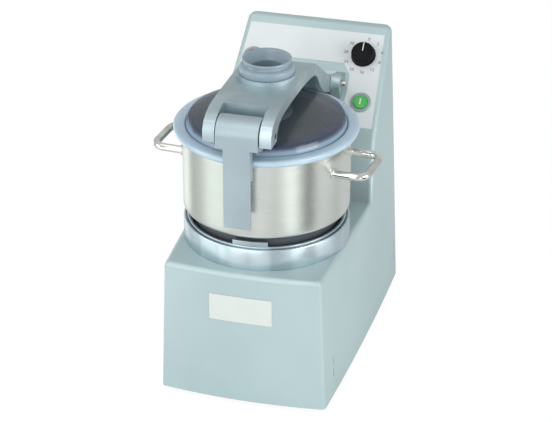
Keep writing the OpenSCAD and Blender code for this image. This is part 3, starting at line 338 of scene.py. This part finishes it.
film = Finish("printed_film", Coat_Weight=0.2, Coat_Roughness=0.25)
fleck = film.noise(400, 2)
film.colour(film.mixed(film.band(film.noise(7), 0.3, 0.7), (0.72, 0.77, 0.79), (0.77, 0.82, 0.83)))
film.rough(0.38 + 0.08 * fleck)
film.relief(fleck, 0.00003, 0.4)
film.paint("control_overlay")
grey_print = Finish("grey_print")
grey_print.colour(grey_print.mixed(grey_print.noise(400), (0.12, 0.14, 0.18), (0.2, 0.22, 0.26)))
grey_print.rough(0.45 + 0.1 * grey_print.noise(300))


def laid(piece, place):
    """Applies a mesh piece's own place, then puts it on the panel."""
    bpy.ops.object.select_all(action="DESELECT")
    piece.select_set(True)
    bpy.context.view_layer.objects.active = piece
    bpy.ops.object.transform_apply(location=True, rotation=True, scale=True)
    piece.data.transform(place)


def printed(name, body, size, x, down):
    """Raised print on the film: characters as a thin mesh, centred on a place."""
    bpy.ops.object.select_all(action="DESELECT")
    bpy.ops.object.text_add(location=(0, 0, 0))
    words = bpy.context.active_object
    words.data.body = body
    words.data.size = size
    words.data.align_x = "CENTER"
    words.data.align_y = "CENTER"
    words.data.extrude = 0.00008
    bpy.ops.object.convert(target="MESH")
    words = bpy.context.active_object
    words.name = name
    laid(words, on_panel(x, down, PRINT_OUT))
    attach(words, "machine")
    grey_print.paint(words)


for i, number in enumerate(("0", "2", "4", "8", "12", "16", "20", "24", "28", "30")):
    bearing = math.radians(DIAL_START + DIAL_STEP * i)
    printed("dial_number_" + number, number, 0.0085,
        KNOB[0] + DIAL_R * math.sin(bearing), KNOB[1] - DIAL_R * math.cos(bearing))
plate_print = Finish("name_plate_lacquer", Coat_Weight=0.3)
plate_print.colour(plate_print.mixed(plate_print.noise(30), (0.66, 0.71, 0.68), (0.71, 0.76, 0.73)))
plate_print.rough(0.3 + 0.1 * plate_print.noise(200))
name_plate = copied("name_plate", "bare_name_plate", edge=0.0003)
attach(name_plate, "machine")
plate_print.paint(name_plate)

# Bowl seat
# A turned aluminium ring with a groove and an inner ridge, on a thin gasket on the box, with
# three cast lugs that turn the bowl's skirt home.
AXIS = -0.1008


def turned(name, outline, steps=128, edge=0.0, middle=AXIS, smooth=40.0):
    """Spins a closed outline of radii and heights in millimetres about an upright axis."""
    bpy.ops.object.select_all(action="DESELECT")
    bpy.ops.mesh.primitive_plane_add(size=0.001,
        location=(outline[0][0] * 0.001, middle, outline[0][1] * 0.001))
    piece = bpy.context.active_object
    piece.name = name
    bpy.ops.object.mode_set(mode="EDIT")
    bpy.ops.mesh.merge(type="CENTER")
    for (r, z), (next_r, next_z) in zip(outline, outline[1:] + outline[:1]):
        bpy.ops.mesh.extrude_region_move(TRANSFORM_OT_translate={
            "value": ((next_r - r) * 0.001, 0, (next_z - z) * 0.001)})
    bpy.ops.mesh.select_all(action="SELECT")
    bpy.ops.mesh.remove_doubles(threshold=0.000002)
    bpy.ops.mesh.spin(steps=steps, angle=2 * math.pi, center=(0, middle, 0), axis=(0, 0, 1))
    bpy.ops.mesh.select_all(action="SELECT")
    bpy.ops.mesh.remove_doubles(threshold=0.000002)
    bpy.ops.mesh.normals_make_consistent(inside=False)
    bpy.ops.object.mode_set(mode="OBJECT")
    bpy.ops.object.transform_apply(location=True, rotation=True, scale=True)
    if edge:
        round_edges(piece, edge, 3, 40)
    bpy.ops.object.shade_smooth_by_angle(angle=math.radians(smooth))
    return piece


seat = turned("turned_seat_ring", [(42, 257.1), (144, 257.1), (144, 293), (142.6, 295.4),
    (139.6, 295.6), (139.5, 290.5), (137.5, 290.5), (137.4, 297.6), (136.4, 298.5),
    (133, 298.5), (132, 297.5), (132, 265.1), (42, 265.1)], edge=0.0006)
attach(seat, "machine")
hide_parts("seat_ring")
lathe = Finish("turned_aluminium", Metallic=0.9)
# Light and dark upright streaks round the ring are painted reflections; the fine rings are the
# turning marks.
painted_reflection_streaks = lathe.noise(1.6, 3, lathe.stretched(9, 9, 0.5))
rings = lathe.noise(1, 3, lathe.stretched(2, 2, 900))
lathe.colour(lathe.mixed(lathe.band(painted_reflection_streaks, 0.35, 0.65), (0.40, 0.49, 0.54), (0.58, 0.69, 0.74)))
lathe.rough(0.28 + 0.16 * rings)
lathe.relief(rings, 0.00012, 0.35)
lathe.paint(seat)
lugs = copied("locating_lugs", "seat_lugs", edge=0.0012)
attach(lugs, "machine")
cast = Finish("satin_cast_aluminium", Metallic=0.8)
grain = cast.noise(260, 5)
worn = cast.band(cast.noise(14, 3), 0.35, 0.7)
cast.colour(cast.mixed(worn, (0.37, 0.46, 0.49), (0.50, 0.60, 0.63)))
cast.rough(0.36 + 0.18 * cast.noise(45, 4))
cast.relief(grain, 0.00012, 0.45)
cast.paint(lugs)

# Motor
# Bolted under the box top: flange with a spigot through the seat, painted body, winding,
# lower shield, and a shaft in two bearings with a rotor core and a plastic fan.
cast.paint("motor_flange", "lower_shield", "controller_heatsink")
motor_paint = Finish("motor_paint", Coat_Weight=0.2)
motor_paint.colour(motor_paint.mixed(motor_paint.noise(30), (0.09, 0.12, 0.15), (0.12, 0.15, 0.19)))
motor_paint.rough(0.4 + 0.15 * motor_paint.noise(90))
motor_paint.paint("motor_body")
winding = Finish("varnished_copper", Coat_Weight=0.4)
turns = winding.node("ShaderNodeTexWave", {"bands_direction": "Z"},
    {"Vector": winding.here(), "Scale": 160.0, "Distortion": 1.5})
winding.colour(winding.mixed(turns, (0.2, 0.09, 0.03), (0.42, 0.2, 0.08)))
winding.rough(0.3 + 0.2 * winding.noise(100))
winding.relief(turns, 0.0004, 0.6)
winding.paint("stator_winding")
ground = Finish("ground_steel", Metallic=1.0)
scratch = ground.noise(4, 3, ground.stretched(60, 60, 900))
ground.colour(ground.mixed(scratch, (0.56, 0.57, 0.58), (0.72, 0.73, 0.74)))
ground.rough(0.16 + 0.2 * scratch)
ground.relief(scratch, 0.00005, 0.3)
ground.paint("upper_bearing", "lower_bearing", "motor_shaft", "rotor_core", "lower_blade",
    "upper_blade")
moulded.paint("cooling_fan", "hub_cap", "lid_magnet")

# Drive electronics and switches
# A boxed speed controller on its heatsink behind the rear cover, and the switch blocks,
# potentiometer and lid switch behind the panel.
boxed = Finish("electronics_case", Coat_Weight=0.1)
boxed.colour(boxed.mixed(boxed.noise(40), (0.03, 0.045, 0.06), (0.05, 0.065, 0.085)))
boxed.rough(0.45 + 0.2 * boxed.noise(150))
boxed.paint("speed_controller", "switch_blocks", "potentiometer", "lid_switch")

# Bowl
# Spun from stainless sheet and brushed round, with a turned rim and a welded tube in the
# middle for the motor shaft; it stands on a skirt in the seat whose dark grey is partly painted
# shade.
wall = [(17.7, 316.0)]
wall += [(136.9 + 7 * math.sin(a), 323 - 7 * math.cos(a))
    for a in [math.radians(7.5 * i) for i in range(13)]]
wall += [(143.9, 340), (143.9, 380), (143.9, 420), (143.9, 451.9), (148.9, 451.9), (149.4, 452.6),
    (149.4, 454.8), (148.9, 455.5), (143.6, 455.5), (142.3, 454.6), (142.1, 453.5), (142.1, 420),
    (142.1, 380), (142.1, 340)]
wall += [(136.9 + 5.2 * math.sin(a), 323 - 5.2 * math.cos(a))
    for a in [math.radians(90 - 10 * i) for i in range(10)]]
wall += [(17.7, 317.8)]
bowl = turned("brushed_bowl", wall, steps=160)
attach(bowl, "machine")
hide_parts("bowl")
brushed = Finish("brushed_stainless", Metallic=1.0, Anisotropic=0.75)
strokes = brushed.noise(1.0, 4, brushed.stretched(7, 7, 2600))
fine_strokes = brushed.noise(1.0, 2, brushed.stretched(30, 30, 7000))
# The broad light and dark upright bands round the bowl are painted reflections; the fine strokes
# are the brushing.
painted_reflection_bands = brushed.noise(2.0, 2, brushed.stretched(3.2, 3.2, 0.25))
steel = brushed.mixed(brushed.band(painted_reflection_bands, 0.38, 0.62), (0.53, 0.57, 0.53), (0.80, 0.84, 0.80))
steel = brushed.mixed(0.25 * brushed.band(strokes, 0.3, 0.7), steel, (0.43, 0.46, 0.42))
brushed.colour(steel)
brushed.rough(0.2 + 0.12 * fine_strokes)
brushed.relief(strokes + fine_strokes * 0.5, 0.00004, 0.25)
brushed.paint(bowl, "bowl_tube")

# Bowl handles
# Polished round bar bent to a U, flattened against the bowl and welded on, one each side.
polish = Finish("polished_chrome", Metallic=1.0)
smear = polish.noise(18, 3)
polish.colour(polish.mixed(polish.band(smear, 0.35, 0.65), (0.54, 0.54, 0.51), (0.74, 0.74, 0.71)))
polish.rough(0.05 + 0.07 * polish.noise(60, 3))
HANDLE_H = 0.4125
HANDLE_TURN = math.radians(4)
LEG = 0.046
ROD_R = 0.00675
BEND_R = 0.020
BEND_X = 0.171
for side, name in ((0, "right_handle"), (math.pi, "left_handle")):
    route = [(x, LEG) for x in (0.1365, 0.150, 0.165, BEND_X)]
    route += [(BEND_X + BEND_R * math.sin(a), LEG - BEND_R + BEND_R * math.cos(a))
        for a in [math.radians(9 * i) for i in range(1, 11)]]
    route += [(p, -q) for p, q in reversed(route)]
    bar = bpy.data.curves.new(name, "CURVE")
    bar.dimensions = "3D"
    bar.bevel_depth = ROD_R
    bar.bevel_resolution = 7
    bar.use_fill_caps = True
    bend = bar.splines.new("POLY")
    bend.points.add(len(route) - 1)
    for point, (p, q) in zip(bend.points, route):
        point.co = (p, q, 0, 1)
    rod = bpy.data.objects.new(name + "_path", bar)
    bpy.context.collection.objects.link(rod)
    bpy.ops.object.select_all(action="DESELECT")
    bpy.context.view_layer.objects.active = rod
    rod.select_set(True)
    bpy.ops.object.convert(target="MESH")
    rod = bpy.context.active_object
    for leg in (-1, 1):
        bpy.ops.object.select_all(action="DESELECT")
        bpy.ops.mesh.primitive_cylinder_add(vertices=40, radius=0.0092, depth=0.004,
            location=(0.1372, leg * LEG, 0), rotation=(0, math.pi / 2, leg * 0.30))
        pad = bpy.context.active_object
        round_edges(pad, 0.0012, 3)
        rod.select_set(True)
        bpy.context.view_layer.objects.active = rod
        bpy.ops.object.join()
    bpy.ops.object.shade_smooth_by_angle(angle=math.radians(45))
    rod = bpy.context.active_object
    rod.name = name
    rod.data.transform(Matrix.Translation((0, AXIS, HANDLE_H))
        @ Matrix.Rotation(side - HANDLE_TURN, 4, "Z"))
    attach(rod, "machine")
    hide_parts("bowl_handles")
    polish.paint(rod)
catch = copied("bowl_catch", "bowl_catch_hook", edge=0.0007)
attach(catch, "machine")
polish.paint(catch)

# Cutter
# A moulded hub on the motor shaft carries two ground steel blades with a spacer between them
# and a cap on top; it spins inside the bowl.
hub_grey_and_skirt_shade = Finish("hub_plastic")
hub_grey_and_skirt_shade.colour(hub_grey_and_skirt_shade.mixed(hub_grey_and_skirt_shade.noise(60), (0.045, 0.055, 0.068), (0.065, 0.075, 0.09)))
hub_grey_and_skirt_shade.rough(0.4 + 0.15 * hub_grey_and_skirt_shade.noise(200))
hub_grey_and_skirt_shade.relief(hub_grey_and_skirt_shade.noise(600), 0.00008, 0.4)
# The bowl's skirt gets this dark grey too, partly as painted shade for the shadow under the bowl.
hub_grey_and_skirt_shade.paint("blade_hub", "blade_spacer", "bowl_skirt")

# Lid
# Clear moulded plastic with a smoky tint: a flange in the seal, a short leaning wall and a
# shallow dome up to a neck round the funnel.
lid = turned("clear_lid", [(133, 458.8), (150.6, 458.8), (151, 459.4), (151, 463.2), (150.6, 463.8),
    (137.4, 463.8), (137.1, 466), (136.4, 470), (133.6, 478.4), (132.6, 480.6), (130.8, 482.2),
    (128, 483), (110, 487), (80, 492.4), (60, 495.2), (46, 496.8), (38.6, 497.6), (38.3, 505.8),
    (34.9, 505.8), (34.3, 493.4), (46, 492.6), (60, 491.1), (80, 488.3), (110, 482.8), (127, 478.8),
    (129, 477.6), (130, 476), (132.2, 469), (133, 465)], steps=160)
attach(lid, "lid_arm")
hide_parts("lid")
clear = Finish("smoky_clear_plastic", IOR=1.49, Specular_IOR_Level=0.6)
haze = clear.band(clear.noise(6, 3), 0.35, 0.7)
_, _, up = clear.axes(clear.here())
# The wall's colour is painted light: navy painted shade at its top and a painted reflection of the
# blue seal at its foot; the dome's smoke is the plastic's own tint.
wall_share = clear.band(up, 0.4815, 0.4845, 1.0, 0.0)
thick_foot_and_seal_reflection = clear.band(up, 0.471, 0.479, 1.0, 0.0)
smoke = clear.mixed(haze, (0.14, 0.17, 0.20), (0.17, 0.20, 0.23))
painted_wall_shade_and_seal_reflection = clear.mixed(thick_foot_and_seal_reflection, (0.06, 0.085, 0.16), (0.33, 0.45, 0.57))
clear.colour(clear.mixed(wall_share, smoke, painted_wall_shade_and_seal_reflection))
clear.rough(0.03 + 0.05 * clear.noise(25, 3))
grazing = clear.node("ShaderNodeLayerWeight", {}, {"Blend": 0.35}, "Facing")
clear.alpha(0.30 + 0.18 * wall_share + 0.3 * thick_foot_and_seal_reflection + 0.2 * grazing)
clear.paint(lid)

# Lid seal
# A soft translucent blue ring clipped round the lid's flange, with a fat rounded lip that
# closes on the bowl's rim.
seal = turned("lid_seal_ring", [(138.6, 455.8), (153, 455.8), (155.4, 456.2), (157.0, 457.8),
    (158.2, 460.4), (158.6, 463), (158.2, 465), (156.8, 466.6), (154.6, 467.4), (151, 467.8),
    (146, 467.8), (141, 467.5), (139.2, 466.9), (138.6, 466), (138.6, 463.9), (151.1, 463.9),
    (151.1, 458.7), (138.6, 458.7)], steps=160, smooth=60)
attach(seal, "lid_arm")
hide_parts("lid_seal")
soft = Finish("translucent_blue_seal", Coat_Weight=0.8, Coat_Roughness=0.12, Subsurface_Weight=0.15)
drift = soft.band(soft.noise(9, 3), 0.3, 0.7)
soft.colour(soft.mixed(drift, (0.41, 0.57, 0.70), (0.49, 0.65, 0.77)))
soft.rough(0.26 + 0.12 * soft.noise(50, 3))
soft.relief(soft.noise(300), 0.00006, 0.3)
soft.paint(seal)

# Feed funnel
# Dark grey-blue moulded plastic: a dished rim and a collar on the arm's boss, and a tube
# down through the lid with a nut under it.
FUNNEL = AXIS + 0.003
funnel = turned("moulded_funnel", [(28, 483.8), (34, 483.8), (34, 505.9), (37, 505.9), (37, 559.1),
    (46.2, 559.1), (47, 560), (47, 567.8), (46.3, 569.8), (44.2, 571.8), (41, 573), (39.4, 573.4),
    (39, 574.2), (39.1, 575.6), (40.5, 580), (41.5, 580.4), (42, 581), (42, 583.2), (41.4, 584),
    (40.2, 584), (39.5, 583.6), (36, 578.2), (32, 572.2), (29.25, 568.2), (28.2, 567),
    (28, 565.6)], steps=128, middle=FUNNEL, smooth=42)
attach(funnel, "lid_arm")
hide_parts("feed_funnel")
slate = Finish("slate_blue_plastic", Coat_Weight=0.25, Coat_Roughness=0.2)
slate.colour(slate.mixed(slate.band(slate.noise(20), 0.3, 0.7),
    (0.25, 0.34, 0.40), (0.30, 0.39, 0.45)))
slate.rough(0.34 + 0.14 * slate.noise(120))
slate.relief(slate.noise(500), 0.00008, 0.4)
slate.paint(funnel, "funnel_nut")

# Arm
# One aluminium casting, open underneath, with a fork in front for the latch lever, a boss for
# the funnel and a barrel at the back for the hinge pin; its edges are rounded.
arm = copied("arm_casting", "cast_arm", edge=0.0028, steps=3, limit=38, smooth=45)
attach(arm, "lid_arm")
cast.paint(arm)
polish.paint("latch_pin")

# Arm hinge
# A cast bracket screwed to the panel with a lug on each side of the barrel, and a steel pin
# that stands out on the right with two grooves.
bracket = copied("hinge_bracket", "hinge_bracket_casting", edge=0.0015, steps=3)
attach(bracket, "machine")
cast.paint(bracket)
polish.paint("hinge_pin")

# Latch lever
# Pressed and welded aluminium sheet: a rolled head on the latch pin and a flat blade in front
# of the bowl whose back hooks under the bowl's catch.
lever = copied("latch_lever", "latch_lever_blade", edge=0.0011, steps=3)
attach(lever, "latch")
anodised = Finish("satin_anodised_lever", Metallic=0.45)
anodised.colour(anodised.mixed(anodised.band(anodised.noise(11, 3), 0.3, 0.7),
    (0.35, 0.435, 0.475), (0.40, 0.485, 0.525)))
anodised.rough(0.42 + 0.12 * anodised.noise(70, 3))
anodised.relief(anodised.noise(500), 0.00006, 0.4)
anodised.paint(lever)

# Speed knob
# Matte black moulding with a fluted grip and a white line, on the potentiometer's stem.
GRIP_R = 0.0195
GRIP_FOOT = 0.004
FLUTES = 24
FLUTE_DEPTH = 0.03


def raised_bar(name, middle, size, steps, place):
    """A small white bar that stands just proud of the cap that carries it."""
    bpy.ops.object.select_all(action="DESELECT")
    bpy.ops.mesh.primitive_cube_add(size=1, location=middle)
    bar = bpy.context.active_object
    bar.name = name
    bar.scale = size
    bpy.ops.object.transform_apply(location=False, rotation=False, scale=True)
    round_edges(bar, 0.0001, steps)
    laid(bar, on_panel(*place, 0))
    return bar


knob = turned("fluted_speed_knob", [(0, -14.9), (3, -14.9), (3, 1.1), (22.5, 1.1), (22.5, 3.4),
    (21.2, 4.2), (21.0, 14.6), (20.0, 16.4), (18.6, 17.1), (0, 17.1)], steps=96, middle=0.0)
for vertex in knob.data.vertices:
    reach = math.hypot(vertex.co.x, vertex.co.y)
    if reach > GRIP_R and vertex.co.z > GRIP_FOOT:
        turn = math.atan2(vertex.co.y, vertex.co.x)
        pinch = 1 - FLUTE_DEPTH * (0.5 + 0.5 * math.cos(FLUTES * turn))
        vertex.co.x *= pinch
        vertex.co.y *= pinch
knob.data.transform(on_panel(*KNOB, 0))
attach(knob, "knob")
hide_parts("speed_knob")
moulded.paint(knob)
pointer = raised_bar("white_pointer_line", (0, 0.0105, 0.01725), (0.0018, 0.0165, 0.0005), 2, KNOB)
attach(pointer, "knob")
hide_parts("knob_pointer")
white_line = Finish("white_line_print")
white_line.colour(white_line.mixed(white_line.noise(300), (0.72, 0.74, 0.74), (0.82, 0.83, 0.83)))
white_line.rough(0.4 + 0.1 * white_line.noise(300))
white_line.paint(pointer)

# Push buttons
# Green to start and red to stop, each a domed plastic cap in a grey-green bezel; the start
# button has a plain white bar.
ring_grey = Finish("bezel_plastic", Coat_Weight=0.15)
ring_grey.colour(ring_grey.mixed(ring_grey.noise(60), (0.27, 0.36, 0.35), (0.33, 0.42, 0.41)))
ring_grey.rough(0.36 + 0.12 * ring_grey.noise(160))
START = (0.107, 0.149)
STOP = (-0.108, 0.082)
for hue, place, body, first, second in (
        ("green", START, "start", (0.03, 0.42, 0.05), (0.045, 0.5, 0.07)),
        ("red", STOP, "stop", (0.45, 0.015, 0.025), (0.55, 0.025, 0.035))):
    bezel = turned(hue + "_button_bezel", [(13.3, 0.8), (19, 0.8), (19, 2.4), (18.2, 3.4),
        (16.8, 3.8), (14.2, 3.8), (13.3, 3.4)], steps=72, middle=0.0)
    bezel.data.transform(on_panel(*place, 0))
    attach(bezel, "machine")
    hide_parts("button_bezels")
    ring_grey.paint(bezel)
    cap = turned(hue + "_button_cap", [(0, -14.5), (3, -14.5), (3, -2.5), (13, -2.5), (13, 5.3),
        (12.4, 6.2), (11, 6.6), (6, 6.8), (0, 6.8)], steps=72, middle=0.0)
    cap.data.transform(on_panel(*place, 0))
    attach(cap, body)
    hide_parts(body + "_button")
    lacquer = Finish(hue + "_button_plastic", Coat_Weight=0.25, Coat_Roughness=0.1)
    lacquer.colour(lacquer.mixed(lacquer.noise(70), first, second))
    lacquer.rough(0.25 + 0.12 * lacquer.noise(140))
    lacquer.paint(cap)
bar_mark = raised_bar("start_bar", (0, 0, 0.00685), (0.0024, 0.0115, 0.0003), 1, START)
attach(bar_mark, "start")
white_line.paint(bar_mark)
